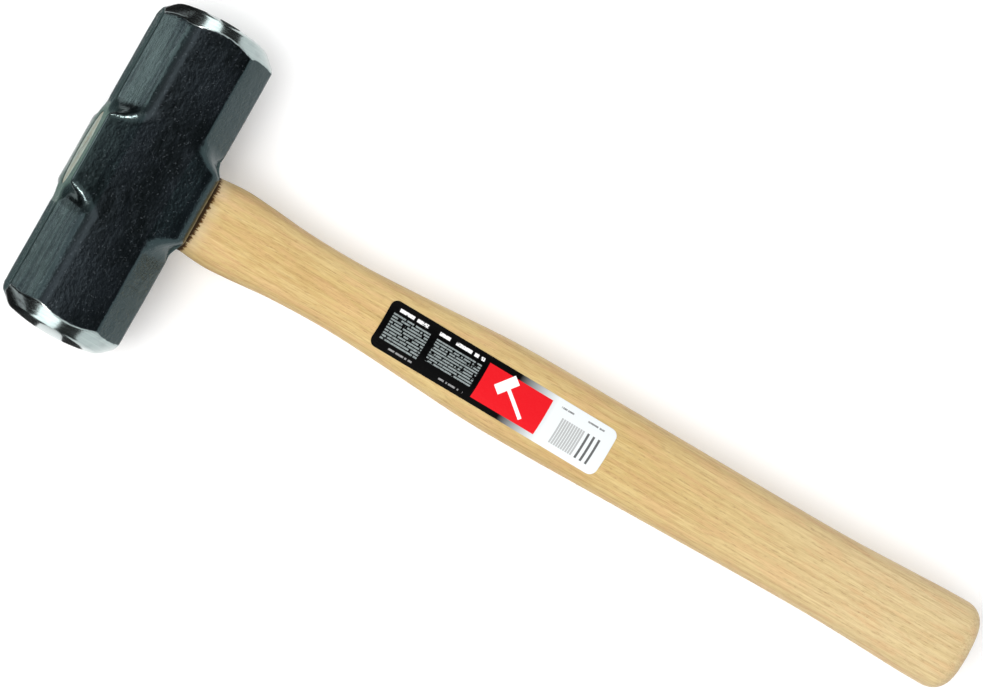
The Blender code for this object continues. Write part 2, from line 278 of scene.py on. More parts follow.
def closed_tube(name, rings, start_pole, end_pole):
    """A closed mesh through rings, drawn together in a point at both ends."""
    count, around = len(rings), len(rings[0])
    points = np.concatenate([np.concatenate(rings), [start_pole, end_pole]])
    faces = tube_faces(count, around)
    first_pole, last = count * around, (count - 1) * around
    for i in range(around):
        j = (i + 1) % around
        faces.append((first_pole, j, i))
        faces.append((first_pole + 1, last + i, last + j))
    item = make_object(name, points, faces)
    face_outwards(item)
    return item


def face_outwards(item):
    builder = bmesh.new()
    builder.from_mesh(item.data)
    bmesh.ops.recalc_face_normals(builder, faces=builder.faces)
    builder.to_mesh(item.data)
    builder.free()


def cut(target, cutter, operation="DIFFERENCE"):
    """Apply a Boolean to the target's mesh and delete the cutter."""
    modifier = target.modifiers.new(operation, "BOOLEAN")
    modifier.operation = operation
    modifier.object = cutter
    modifier.solver = "EXACT"
    graph = bpy.context.evaluated_depsgraph_get()
    result = bpy.data.meshes.new_from_object(target.evaluated_get(graph))
    target.modifiers.clear()
    old = target.data
    target.data = result
    bpy.data.meshes.remove(old)
    bpy.data.objects.remove(cutter)


def sharpen(item, degrees):
    item.data.set_sharp_from_angle(angle=math.radians(degrees))


def spread(stations, weights, count):
    """Count values from the first to the last station, denser where the weight is high."""
    fine = np.linspace(stations[0], stations[-1], 4000)
    density = np.interp(fine, stations, weights)
    total = np.concatenate([[0.0], np.cumsum((density[1:] + density[:-1]) / 2)])
    return np.interp(np.linspace(0.0, total[-1], count), total, fine)


def noise_at(points, scale, seed):
    """Smooth noise between about -1 and 1 at points, scaled on each axis."""
    places = np.asarray(points) * np.asarray(scale) + seed
    flat = places.reshape(-1, 3)
    return np.array([noise.noise(place) for place in flat]).reshape(places.shape[:-1])


def on_axis(x):
    """A point on the handle's axis."""
    return np.array([x, 0.0, AXIS_Z])


def smooth_step(value):
    value = np.clip(value, 0.0, 1.0)
    return value * value * (3.0 - 2.0 * value)


def smooth_max(a, b, blend):
    overlap = np.maximum(blend - np.abs(a - b), 0.0) / blend
    return np.maximum(a, b) + overlap * overlap * blend / 4


# ---------------------------------------------------------------------- head


def boss_height(boss, y):
    fall = (np.abs(y) - boss["flat"]) / (boss["foot"] - boss["flat"])
    return boss["height"] * (1.0 - smooth_step(fall))


def forged_field(x, y, z):
    """How far a point lies outside the forged bar; z is from the head's axis."""
    on_bar = smooth_step((np.abs(y) - TOP_BOSS["flat"]) / CROWN_FADE)
    block = np.abs(z) - HALF + (BLOCK_CROWN + (CHEEK_CROWN - BLOCK_CROWN) * on_bar) * x * x
    block = smooth_max(block, -x - HALF - boss_height(TOP_BOSS, y), TOP_BOSS["edge"])
    block = smooth_max(block, x - HALF - boss_height(UNDER_BOSS, y), UNDER_BOSS["edge"])
    corner = (np.abs(x) + np.abs(z)) / math.sqrt(2)
    plane = (2 * HALF - CHAMFER_LEG) / math.sqrt(2)
    toward_cheek = (np.abs(z) - np.abs(x)) / math.sqrt(2)
    before = np.maximum(SCOOP_FROM + SCOOP_LEAN * toward_cheek - np.abs(y), 0.0)
    below = np.minimum(corner - plane - SCOOP_RADIUS, 0.0)
    chamfer = SCOOP_RADIUS - np.hypot(before, below) + CHAMFER_CROWN * toward_cheek**2
    in_scoop = smooth_step(before / SCOOP_RADIUS * 2)
    worn = smooth_step(toward_cheek / WORN_FADE) * smooth_step(-x / WORN_FADE)
    edge = CHAMFER_EDGE + (WORN_EDGE - CHAMFER_EDGE) * worn * (1.0 - in_scoop)
    return smooth_max(block, chamfer, edge + (SCOOP_EDGE - CHAMFER_EDGE) * in_scoop)


def turned_field(x, y, z):
    """How far a point lies outside the turned end of its half of the head."""
    radius = np.hypot(x, z)
    depth = HEAD_LENGTH / 2 - np.abs(y)
    crown = np.hypot(radius, CROWN_RADIUS - depth) - CROWN_RADIUS
    out, down = radius - CORNER_RADIUS, depth - BEVEL_DEPTH
    cone = out * math.sin(BEVEL_ANGLE) - down * math.cos(BEVEL_ANGLE)
    return smooth_max(crown, cone, LIP_BLEND)


def head_field(points):
    x, y, z = np.moveaxis(points, -1, 0)
    return smooth_max(forged_field(x, y, z), turned_field(x, y, z), BEVEL_EDGE)


def surface_along(origin, direction, reach=45.0, halvings=26):
    """Where rays from inside the head leave it."""
    near = np.zeros(direction.shape[:-1])
    far = np.full(direction.shape[:-1], reach)
    for _ in range(halvings):
        middle = (near + far) / 2
        outside = head_field(origin + direction * middle[..., None]) > 0
        far = np.where(outside, middle, far)
        near = np.where(outside, near, middle)
    return origin + direction * near[..., None]


def field_normals(points, step=0.05):
    slopes = []
    for axis in range(3):
        offset = np.zeros(3)
        offset[axis] = step
        slopes.append(head_field(points + offset) - head_field(points - offset))
    normals = np.stack(slopes, axis=-1)
    return normals / np.linalg.norm(normals, axis=-1, keepdims=True)


def head_turns(count):
    """Angles round the head, denser at the edges of chamfers and at the corners."""
    edge = math.atan2(HALF - CHAMFER_LEG, HALF)
    quarter = math.pi / 2
    peaks = sorted(
        quarter * k + offset for k in range(4) for offset in (edge, quarter / 2, quarter - edge)
    )
    fine = np.linspace(0.0, 2 * math.pi, 2001)
    density = np.full(fine.shape, 1.0)
    for peak in peaks:
        density += 1.3 * np.exp(-(((fine - peak) / math.radians(2.2)) ** 2))
    total = np.concatenate([[0.0], np.cumsum(density[:-1])])
    return np.interp(np.linspace(0.0, total[-1], count + 1)[:-1], total, fine)


def relief(points, height, scale, seed):
    """Rises and falls of a surface, up to about the given height."""
    return height * noise_at(points, scale, seed)


def roughen_head(points):
    """Hammered waves, fine scale and lengthwise marks, on the painted surface only."""
    x, y, z = np.moveaxis(points, -1, 0)
    painted = smooth_step(-turned_field(x, y, z) / 0.5 - 0.2)
    layers = relief(points, *HEAD_WAVES) + relief(points, *HEAD_LUMPS) + relief(points, *HEAD_SCALE)
    toward_top = smooth_step((MARKS_FROM - x) / MARKS_FADE)
    on_bar = smooth_step((np.abs(y) - SCOOP_FROM + SCOOP_FADE) / SCOOP_FADE)
    marks = toward_top * on_bar * relief(points, *HEAD_MARKS)
    height = painted * (layers + marks)
    return points + field_normals(points) * height[..., None]


def eye_half_axes(x, clearance=0.0):
    flare = EYE_FLARE * (x - EYE_WAIST_X) ** 2
    return EYE_HALF_LONG + flare - clearance, EYE_HALF_SHORT + flare - clearance


def superellipse(power, count):
    """Both coordinates of points round a superellipse that is 2 wide and 2 high."""
    turns = np.arange(count) * 2 * math.pi / count
    return [np.sign(side) * np.abs(side) ** (2 / power) for side in (np.cos(turns), np.sin(turns))]


def oval(x, half_y, half_z, power, count):
    """A superellipse across X, as points about the handle's axis."""
    y, z = superellipse(power, count)
    return np.stack([np.full(count, x), half_y * y, AXIS_Z + half_z * z], axis=-1)


def eye_cutter():
    """The eye's space, with a rounded mouth at both ends."""
    top, under = HEAD_LOW.x, HEAD_HIGH.x
    stations = list(np.linspace(top + EYE_MOUTH, under - EYE_MOUTH, 24))
    steps = 6
    for i in range(1, steps + 1):
        inward = EYE_MOUTH * (1 - math.sin(math.pi / 2 * i / steps))
        stations = [top + inward] + stations + [under - inward]
    stations = [top - EYE_PAST] + stations + [under + EYE_PAST]
    rings = []
    for x in stations:
        inside = min(x - top, under - x)
        share = min(max(1 - inside / EYE_MOUTH, 0.0), 1.0)
        mouth = EYE_MOUTH * (1 - math.sqrt(1 - share * share))
        half_y, half_z = eye_half_axes(x, -mouth)
        rings.append(oval(x, half_y, half_z, 2.0, 96))
    return closed_tube("eye_cutter", rings, on_axis(stations[0]), on_axis(stations[-1]))


def make_head():
    turns = head_turns(288)
    round_y = np.stack([np.cos(turns), np.zeros_like(turns), np.sin(turns)], axis=-1)
    reach = HEAD_LENGTH / 2 - CAP_DEPTH
    stations = (-reach, -30, -27, -14, -12, 12, 14, 27, 30, reach)
    rings = []
    for y in spread(stations, (1, 1, 1.7, 1.7, 1, 1, 1.7, 1.7, 1, 1), 216):
        rings.append(surface_along(np.array([0.0, y, 0.0]), round_y))
    tilts = spread((0.0, 8.0, 32.0, 86.0), (1.2, 1.2, 0.7, 0.35), 48)[1:]
    for tilt in np.radians(tilts):
        for end in (1, -1):
            ray = round_y * math.cos(tilt) + np.array([0.0, end * math.sin(tilt), 0.0])
            ring = surface_along(np.array([0.0, end * reach, 0.0]), ray)
            rings.insert(len(rings) if end > 0 else 0, ring)
    points = roughen_head(np.array(rings))
    points[..., 2] += AXIS_Z
    tip = np.array([0.0, HEAD_LENGTH / 2, 0.0])
    head = closed_tube("forged_head", points, on_axis(0.0) - tip, on_axis(0.0) + tip)
    cut(head, eye_cutter())
    sharpen(head, 50)
    return head


# -------------------------------------------------------------------- handle


def handle_size(x):
    """Width and thickness at x, on a smooth curve through the stations."""
    stations = HANDLE_STATIONS
    last = len(stations) - 1
    index = max(i for i in range(last) if stations[i][0] <= x or i == 0)
    start, end = stations[index], stations[index + 1]
    before, after = stations[max(index - 1, 0)], stations[min(index + 2, last)]
    span = end[0] - start[0]
    t = (x - start[0]) / span
    size = []
    for axis in (1, 2):
        slope_start = (end[axis] - before[axis]) / (end[0] - before[0]) * span
        slope_end = (after[axis] - start[axis]) / (after[0] - start[0]) * span
        size.append(
            (2 * t**3 - 3 * t**2 + 1) * start[axis]
            + (t**3 - 2 * t**2 + t) * slope_start
            + (3 * t**2 - 2 * t**3) * end[axis]
            + (t**3 - t**2) * slope_end
        )
    return size


def handle_rings(around):
    """Sections of the tenon in the eye, of the grip and of its rounded butt."""
    rings = []
    half_y, half_z = eye_half_axes(HANDLE_TOP, TIGHT)
    for share in (0.12, 0.3, 0.5, 0.7, 0.85, 0.95, 0.985):
        rings.append(oval(HANDLE_TOP, half_y * share, half_z * share, 2.0, around))
    for x in spread((HANDLE_TOP + 0.15, HANDLE_TOP + 2, SHOULDER - 0.4), (3, 1, 1), 30):
        rings.append(oval(x, *eye_half_axes(x, TIGHT), 2.0, around))
    round_start = HANDLE_END - END_DOME - END_ROUND
    for x in spread((SHOULDER, SHOULDER + 4, SHOULDER + 8, round_start), (4, 4, 1, 1), 300):
        width, thickness = handle_size(x)
        rings.append(oval(x, width / 2, thickness / 2, GRIP_POWER, around))
    steps = 14
    for turn in np.linspace(0.0, math.pi / 2, steps + 1)[1:]:
        x = round_start + END_ROUND * math.sin(turn)
        width, thickness = handle_size(x)
        inset = END_ROUND * (1 - math.cos(turn))
        rings.append(oval(x, width / 2 - inset, thickness / 2 - inset, GRIP_POWER, around))
    width, thickness = handle_size(HANDLE_END - END_DOME)
    for share in np.linspace(1.0, 0.1, 10)[1:]:
        x = HANDLE_END - END_DOME * share**2
        half_y, half_z = width / 2 - END_ROUND, thickness / 2 - END_ROUND
        rings.append(oval(x, half_y * share, half_z * share, GRIP_POWER, around))
    return np.array(rings)


def wear_handle(rings):
    """Spokeshaved waves along the grip, and fibres crushed up against the head."""
    points = rings.copy()
    x = points[..., 0]
    on_grip = smooth_step((x - SHOULDER) / 1.0)
    grip = relief(points, *GRIP_WAVES) + relief(points, *GRIP_GRAIN)
    fibre = noise_at(points, (0.1, 1.4, 1.4), 23.0)
    past = x - SHOULDER
    collar = smooth_step(1 - np.abs(past - COLLAR_MIDDLE) / (COLLAR_HALF + fibre)) * (past > -0.2)
    height = on_grip * grip + collar * (COLLAR_HEIGHT + COLLAR_FIBRES * fibre)
    outward = points - on_axis(0.0)
    outward[..., 0] = 0.0
    outward /= np.linalg.norm(outward, axis=-1, keepdims=True)
    return points + outward * height[..., None]


def wedge_taper(x, top, tip, depth):
    """Half thickness at x of a wedge that starts at the top of the handle."""
    return (top + (tip - top) * (x - HANDLE_TOP) / depth) / 2


def wood_taper(x):
    return wedge_taper(x, WOOD_WEDGE_TOP, WOOD_WEDGE_TIP, WOOD_WEDGE_TIP_X - HANDLE_TOP)


def steel_taper(x):
    return wedge_taper(x, STEEL_TOP, STEEL_TIP, STEEL_DEPTH)


def slab(name, start, end, half_start, half_end, half_width, place):
    """A tapered plate from start to end along X; place(x, across, along) gives a point."""
    points = []
    for x, half in ((start, half_start), (end, half_end)):
        for across, along in ((-1, -1), (1, -1), (1, 1), (-1, 1)):
            points.append(place(x, across * half, along * half_width))
    faces = [(0, 1, 2, 3), (7, 6, 5, 4)]
    faces += [(i, i + 4, (i + 1) % 4 + 4, (i + 1) % 4) for i in range(4)]
    plate = make_object(name, points, faces)
    face_outwards(plate)
    return plate


def place_in_kerf(x, across, along):
    return (x, along, AXIS_Z + across)


def place_steel(x, across, along):
    y = along * math.sin(STEEL_ANGLE) - across * math.cos(STEEL_ANGLE)
    z = along * math.cos(STEEL_ANGLE) + across * math.sin(STEEL_ANGLE)
    return (x, y, AXIS_Z + z)


def kerf_slab(clearance, end):
    """The kerf from outside the handle down to end, wider by the clearance on each face."""
    half_start, half_end = wood_taper(KERF_START) + clearance, wood_taper(end) + clearance
    return slab("kerf", KERF_START, end, half_start, half_end, KERF_HALF_WIDTH, place_in_kerf)


def steel_slab():
    """The slot that the steel wedge lies in."""
    end = HANDLE_TOP + STEEL_DEPTH + TIGHT
    half_start, half_end = steel_taper(KERF_START) + TIGHT, steel_taper(end) + TIGHT
    return slab("slot", KERF_START, end, half_start, half_end, STEEL_WIDTH / 2 + TIGHT, place_steel)


def make_handle():
    rings = wear_handle(handle_rings(160))
    handle = closed_tube("hickory_handle", rings, on_axis(HANDLE_TOP), on_axis(HANDLE_END))
    cut(handle, kerf_slab(TIGHT, KERF_END))
    cut(handle, steel_slab())
    sharpen(handle, 45)
    return handle


# -------------------------------------------------------------------- wedges


def make_wood_wedge():
    """A tapered plate cut to the eye's shape and notched by the steel wedge."""
    limit = []
    stations = np.linspace(HANDLE_TOP + 0.1, WOOD_WEDGE_TIP_X, 24)
    for x in stations:
        limit.append(oval(x, *eye_half_axes(x, 2 * TIGHT), 2.0, 120))
    half_y, half_z = eye_half_axes(HANDLE_TOP, 2 * TIGHT)
    for share in (0.99, 0.8, 0.5, 0.2):
        limit.insert(0, oval(HANDLE_TOP, half_y * share, half_z * share, 2.0, 120))
    wedge = closed_tube("wooden_wedge", limit, on_axis(HANDLE_TOP), on_axis(WOOD_WEDGE_TIP_X))
    cut(wedge, kerf_slab(-TIGHT, WOOD_WEDGE_TIP_X + 1.0), "INTERSECT")
    cut(wedge, steel_slab())
    sharpen(wedge, 40)
    return wedge


def make_steel_wedge():
    """Barbed faces, rounded edges and a top dented by the hammer that drove it."""
    along, across = superellipse(STEEL_POWER, 96)
    run = STEEL_DEPTH / (STEEL_BARBS + 1)
    rings = []
    for x in np.linspace(HANDLE_TOP, HANDLE_TOP + STEEL_DEPTH, 81):
        in_barb = (x - HANDLE_TOP) % run / run
        half = steel_taper(x) - STEEL_BARB / 2 * smooth_step(in_barb)
        inset = STEEL_ROUND * max(1 - (x - HANDLE_TOP) / STEEL_ROUND_DEPTH, 0.0) ** 2
        rings.append([
            place_steel(x, (half - inset) * a, (STEEL_WIDTH / 2 - inset) * b)
            for a, b in zip(across, along)
        ])
    half = steel_taper(HANDLE_TOP) - STEEL_ROUND
    half_width = STEEL_WIDTH / 2 - STEEL_ROUND
    for share in (0.9, 0.7, 0.5, 0.3):
        rings.insert(0, [
            place_steel(HANDLE_TOP, half * a * share, half_width * b * share)
            for a, b in zip(across, along)
        ])
    points = np.array(rings)
    near_top = smooth_step(1 - (points[..., 0] - HANDLE_TOP) / STEEL_DENT_FADE)
    points[..., 0] += STEEL_DENT * near_top * (1 + noise_at(points, (0.5, 0.5, 0.5), 7.0))
    start, end = on_axis(HANDLE_TOP + 0.1), on_axis(HANDLE_TOP + STEEL_DEPTH)
    wedge = closed_tube("steel_wedge_barbed", points, start, end)
    sharpen(wedge, 40)
    return wedge


# --------------------------------------------------------------------- label


def on_handle(x, y, lift):
    """The point over (x, y) at a height of lift off the handle's upper face."""
    width, thickness = handle_size(x)
    half_y, half_z = width / 2, thickness / 2
    share = min(abs(y) / half_y, 0.99)
    rise = (1 - share**GRIP_POWER) ** (1 / GRIP_POWER)
    slope = -math.copysign(half_z / half_y * (share / rise) ** (GRIP_POWER - 1), y)
    length = math.hypot(1.0, slope)
    return (x, y - lift * slope / length, AXIS_Z + half_z * rise + lift / length)


def make_label():
    """A thin film with round corners, bent over the handle."""
    corner_steps, long_steps, cross_steps = 10, 90, 24
    corner = LABEL_CORNER * (1 - np.cos(np.linspace(0.0, math.pi / 2, corner_steps + 1)[1:]))
    middle = np.linspace(LABEL_CORNER, LABEL_LENGTH - LABEL_CORNER, long_steps + 1)[1:-1]
    stations = np.concatenate([corner, middle, LABEL_LENGTH - corner[::-1]])
    rings = []
    for along in stations:
        from_end = min(along, LABEL_LENGTH - along, LABEL_CORNER)
        inset = LABEL_CORNER - math.sqrt(LABEL_CORNER**2 - (LABEL_CORNER - from_end) ** 2)
        half_width = LABEL_WIDTH / 2 - inset
        ring = []
        for lift in (LABEL_LIFT, LABEL_LIFT + LABEL_THICKNESS):
            row = []
            for across in np.linspace(-half_width, half_width, cross_steps + 1):
                u = along - LABEL_LENGTH / 2
                x = LABEL_X + u * math.cos(LABEL_SLANT) - across * math.sin(LABEL_SLANT)
                y = LABEL_Y + u * math.sin(LABEL_SLANT) + across * math.cos(LABEL_SLANT)
                row.append(on_handle(x, y, lift))
            ring += row if not ring else row[::-1]
        rings.append(ring)
    points = np.array(rings)
    label = closed_tube("label_film", points, points[0].mean(axis=0), points[-1].mean(axis=0))
    sharpen(label, 50)
    return label


# ----------------------------------------------------------------- materials


class Nodes:
    """A node tree with one short call for each kind of node used here."""

    def __init__(self, tree):
        self.tree = tree

    def add(self, kind, inputs=None, **settings):
        node = self.tree.nodes.new(kind)
        for key, value in settings.items():
            setattr(node, key, value)
        self.fill(node, inputs or {})
        return node

    def fill(self, node, inputs):
        """Link each input to a socket, or set it to a number, vector or colour."""
        for key, value in inputs.items():
            socket = node.inputs[key]
            if isinstance(value, bpy.types.NodeSocket):
                self.tree.links.new(value, socket)
            elif isinstance(value, tuple) and socket.type == "RGBA":
                socket.default_value = (*value, 1.0)
            else:
                socket.default_value = value

    def math(self, operation, a, b=0.0, c=0.0):
        inputs = {0: a, 1: b, 2: c}
        return self.add("ShaderNodeMath", inputs, operation=operation).outputs[0]

    def plus(self, a, b):
        return self.math("ADD", a, b)

    def minus(self, a, b):
        return self.math("SUBTRACT", a, b)

    def times(self, a, b):
        return self.math("MULTIPLY", a, b)

    def vector(self, operation, a, b):
        return self.add("ShaderNodeVectorMath", {0: a, 1: b}, operation=operation).outputs[0]

    def combine(self, x, y, z):
        return self.add("ShaderNodeCombineXYZ", {0: x, 1: y, 2: z}).outputs[0]

    def separate(self, vector):
        """x, y and z of a vector."""
        parts = self.add("ShaderNodeSeparateXYZ", {0: vector}).outputs
        return parts[0], parts[1], parts[2]

    def place(self):
        """The point on the piece, in millimetres."""
        metres = self.add("ShaderNodeTexCoord").outputs["Object"]
        return self.vector("MULTIPLY", metres, (1 / MM,) * 3)

    def length(self, a, b):
        """Distance from the origin to (a, b)."""
        squares = self.plus(self.times(a, a), self.times(b, b))
        return self.math("SQRT", squares)

    def turned(self, a, b, angle):
        """The point (a, b) in axes that are turned by an angle."""
        c, s = math.cos(angle), math.sin(angle)
        along = self.math("MULTIPLY_ADD", a, c, self.times(b, s))
        aside = self.minus(self.times(b, c), self.times(a, s))
        return along, aside

    def noise(self, place, scale, detail=2.0, roughness=0.5, seed=0.0):
        """Noise from 0 to 1 with its own scale on each axis."""
        stretched = self.vector("MULTIPLY", place, scale)
        moved = self.vector("ADD", stretched, (seed, seed * 1.7, seed * 2.3))
        inputs = {"Vector": moved, "Scale": 1.0, "Detail": detail, "Roughness": roughness}
        return self.add("ShaderNodeTexNoise", inputs).outputs[0]

    def span(self, value, low, high, to_low=0.0, to_high=1.0, smooth=True):
        """Map low..high to another range, clamped."""
        kind = "SMOOTHSTEP" if smooth else "LINEAR"
        inputs = {0: value, 1: low, 2: high, 3: to_low, 4: to_high}
        return self.add("ShaderNodeMapRange", inputs, interpolation_type=kind).outputs[0]

    def mix(self, factor, a, b, blend="MIX"):
        inputs = {0: factor, 6: a, 7: b}
        return self.add("ShaderNodeMix", inputs, data_type="RGBA", blend_type=blend).outputs[2]

    def bump(self, height, distance):
        return self.add("ShaderNodeBump", {"Height": height, "Distance": distance}).outputs[0]


def new_material(name):
    """A material, its nodes and its shader."""
    material = bpy.data.materials.new(name)
    material.use_nodes = True
    nodes = Nodes(material.node_tree)
    return material, nodes, material.node_tree.nodes["Principled BSDF"]


PAINT_BLACK = (0.0012, 0.0020, 0.0021)
PAINT_GREY = (0.0030, 0.0043, 0.0056)
PAINT_STREAK = (0.006, 0.0075, 0.011)
PAINT_SPECK_AND_GLINT = (0.055, 0.063, 0.068)
PAINT_RUBBED_AND_HIGHLIGHT = (0.19, 0.23, 0.24)
STEEL_SHADE = (0.26, 0.315, 0.31)
STEEL_BRIGHT = (0.37, 0.44, 0.435)
STEEL_STAIN = (0.18, 0.21, 0.21)
FILM_DARK = (0.024, 0.03, 0.033)  # lacquer smeared over the ground steel
FILM_LIGHT = (0.066, 0.08, 0.083)
TINT_FLAT = (0.72, 0.9, 1.0)
TINT_CHAMFER = (0.56, 0.88, 0.92)
TINT_STREAK_DARK = (0.34, 0.51, 0.55)
TINT_STREAK_AND_SHEEN = (0.68, 1.0, 1.0)
BARE_LEAST = 5.5  # depth of bare steel where the bevel is shallower


def head_material():
    """Black lacquer over forge scale, and bare ground steel at both ends."""
    material, n, shader = new_material("head_lacquer_and_steel")
    place = n.place()
    x, y, z = n.separate(place)
    from_axis = n.minus(z, AXIS_Z)
    radius = n.length(x, from_axis)
    depth = n.minus(HEAD_LENGTH / 2, n.math("ABSOLUTE", y))
    corner = n.plus(n.math("ABSOLUTE", x), n.math("ABSOLUTE", from_axis))
    slope = math.tan(BEVEL_ANGLE)
    cone = n.math("MULTIPLY_ADD", radius, slope, BEVEL_DEPTH - CORNER_RADIUS * slope)
    ragged = n.noise(place, (0.5, 0.5, 0.5), 4.0, 0.6, 2.0)
    paint_line = n.plus(cone, n.span(ragged, 0.3, 0.7, 0.1, 0.5, False))
    paint_line = n.math("MAXIMUM", paint_line, BARE_LEAST)
    bare = n.span(n.minus(paint_line, depth), -0.12, 0.12)
    film = n.times(n.span(x, -16.0, -11.5, 1.0, 0.0), n.span(ragged, 0.35, 0.55, 1.0, 0.6))

    patches = n.noise(place, (0.06, 0.05, 0.06), 3.0, 0.55, 5.0)
    streaks = n.noise(place, (0.6, 0.035, 0.6), 3.0, 0.6, 9.0)
    # Pale specks of forge scale, which also stand in for painted glints off the small bumps.
    specks_and_glints = n.noise(place, (1.2, 1.0, 1.2), 3.0, 0.6, 13.0)
    paint = n.mix(n.span(patches, 0.35, 0.65), PAINT_BLACK, PAINT_GREY)
    paint = n.mix(n.span(streaks, 0.55, 0.75, 0.0, 0.5), paint, PAINT_STREAK)
    paint = n.mix(n.span(specks_and_glints, 0.6, 0.7, 0.0, 0.5), paint, PAINT_SPECK_AND_GLINT)

    # Paler paint along the long edges of the eye block: rubbed paint, and also a painted highlight
    # where these rounded edges catch the light.
    rubbed_and_highlight = n.span(corner, 2 * HALF - 0.6, 2 * HALF - 0.1)
    rubbed_and_highlight = n.times(rubbed_and_highlight, n.span(ragged, 0.3, 0.5, 0.4, 0.9))
    paint = n.mix(rubbed_and_highlight, paint, PAINT_RUBBED_AND_HIGHLIGHT)

    grinding = n.noise(n.combine(radius, depth, 0.0), (2.2, 2.2, 1.0), 4.0, 0.65, 1.0)
    stain = n.noise(place, (0.16, 0.16, 0.16), 3.0, 0.5, 21.0)
    steel = n.mix(n.span(grinding, 0.3, 0.7), STEEL_SHADE, STEEL_BRIGHT)
    steel = n.mix(n.span(stain, 0.5, 0.72, 0.0, 0.4), steel, STEEL_STAIN)
    worn_film = n.mix(n.span(streaks, 0.36, 0.62), FILM_DARK, FILM_LIGHT)
    steel = n.mix(film, steel, worn_film)

    paint_roughness = n.span(patches, 0.3, 0.7, 0.17, 0.23, False)
    steel_roughness = n.span(grinding, 0.3, 0.7, 0.13, 0.22, False)
    more = n.minus(steel_roughness, paint_roughness)
    roughness = n.math("MULTIPLY_ADD", bare, more, paint_roughness)

    on_chamfer = n.span(corner, 2 * HALF - CHAMFER_LEG - 1.5, 2 * HALF - CHAMFER_LEG - 0.2)
    # Reflections on the chamfers are tinted along the forging streaks and made stronger toward -X.
    # This is a painted reflection gradient across each chamfer.
    streaks_and_sheen = n.plus(streaks, n.span(x, -22.0, -15.0, 0.12, -0.05, False))
    streaked = n.mix(n.span(streaks_and_sheen, 0.36, 0.62), TINT_STREAK_DARK, TINT_STREAK_AND_SHEEN)
    chamfer_tint = n.mix(n.span(x, -14.0, -10.0, 1.0, 0.0), TINT_CHAMFER, streaked)
    tint = n.mix(on_chamfer, TINT_FLAT, chamfer_tint)

    fine = n.minus(n.noise(place, (0.95, 0.8, 0.95), 2.0, 0.55, 31.0), 0.5)
    pits = n.minus(n.noise(place, (0.3, 0.25, 0.3), 2.0, 0.5, 35.0), 0.5)
    fine = n.times(fine, n.span(patches, 0.35, 0.65, 0.45, 1.3))
    on_bar = n.span(n.math("ABSOLUTE", y), SCOOP_FROM - SCOOP_FADE, SCOOP_FROM)
    lined = n.times(n.minus(streaks, 0.5), n.span(x, -17.0, -11.0, 3.2, 0.0))
    height = n.math("MULTIPLY_ADD", lined, on_bar, fine)
    height = n.math("MULTIPLY_ADD", pits, 1.5, height)
    ground = n.times(n.minus(grinding, 0.5), 0.2)
    height = n.math("MULTIPLY_ADD", bare, n.minus(ground, height), height)

    n.fill(shader, {
        "Base Color": n.mix(bare, paint, steel),
        "Metallic": bare,
        "Roughness": roughness,
        "IOR": 1.6,
        "Specular Tint": n.mix(bare, tint, WHITE),
        "Normal": n.bump(height, 0.0001),
    })
    return material


WOOD_LIGHT = (0.60, 0.445, 0.18)
WOOD_MIDDLE = (0.54, 0.38, 0.145)
WOOD_PALE = (0.67, 0.54, 0.31)
WOOD_GLINT = (0.70, 0.55, 0.27)
WOOD_BLUSH = (0.62, 0.375, 0.185)
WOOD_DARK = (0.33, 0.185, 0.055)
WOOD_PORE = (0.26, 0.13, 0.04)
WOOD_BURNT = (0.022, 0.009, 0.003)
WOOD_STAIN = (0.16, 0.065, 0.014)
WOOD_FRESH = (0.82, 0.68, 0.42)
WOOD_END = (0.37, 0.44, 0.40)
WOOD_VESSEL = (0.24, 0.22, 0.17)
WOOD_SIDE_SHADE = (0.80, 0.77, 0.70)  # painted shade: what the sides are multiplied by, to darken the handle's edges
